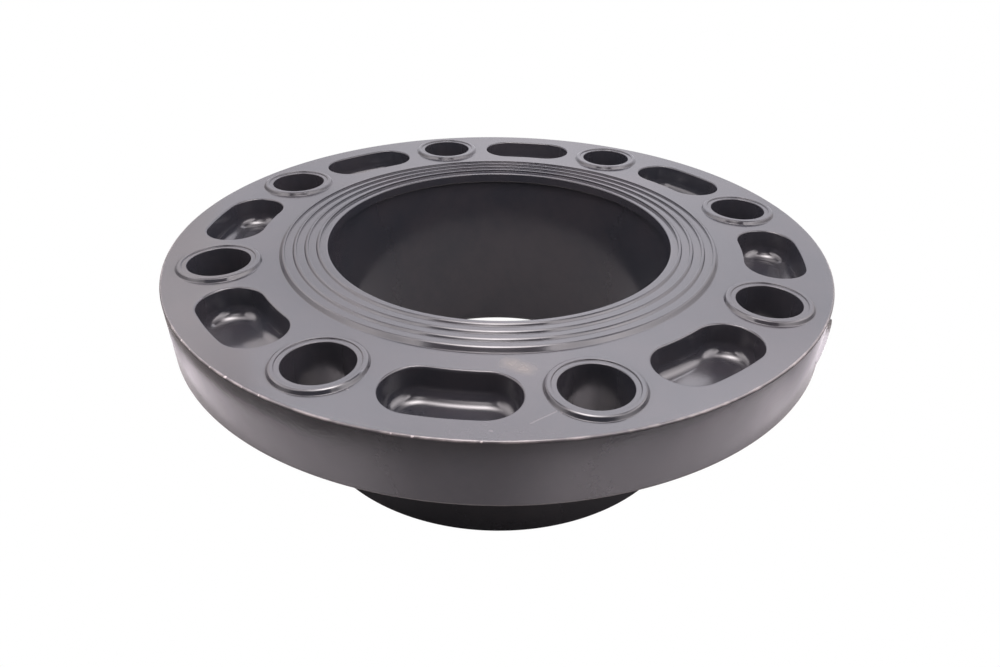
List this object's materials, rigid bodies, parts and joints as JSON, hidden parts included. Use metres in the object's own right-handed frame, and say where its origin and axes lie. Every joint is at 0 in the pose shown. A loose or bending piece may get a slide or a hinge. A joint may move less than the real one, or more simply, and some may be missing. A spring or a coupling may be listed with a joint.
{
  "type": "pipe flange",
  "caption": "Full-face plastic pipe flange with a ridged sealing band round an open bore, bushed bolt holes, blind pockets between them and a socket hub behind.",
  "frame": {"origin": "centre of the socket end face, where the part stands, on the bore axis", "axes": "+Z along the bore axis, from the socket end to the ridged gasket face; +X lies midway between two bolt holes"},
  "size_m": [0.285, 0.285, 0.0925],
  "materials": {
    "pvc_grey": "satin moulded dark grey PVC-U, fine tool marks, pale scuffs on the edges"
  },
  "bodies": {
    "root": {"flange_ring": "pvc_grey", "socket_hub": "pvc_grey", "bolt_bush_1": "pvc_grey", "bolt_bush_2": "pvc_grey", "bolt_bush_3": "pvc_grey", "bolt_bush_4": "pvc_grey", "bolt_bush_5": "pvc_grey", "bolt_bush_6": "pvc_grey", "bolt_bush_7": "pvc_grey", "bolt_bush_8": "pvc_grey"}
  },
  "joints": []
}
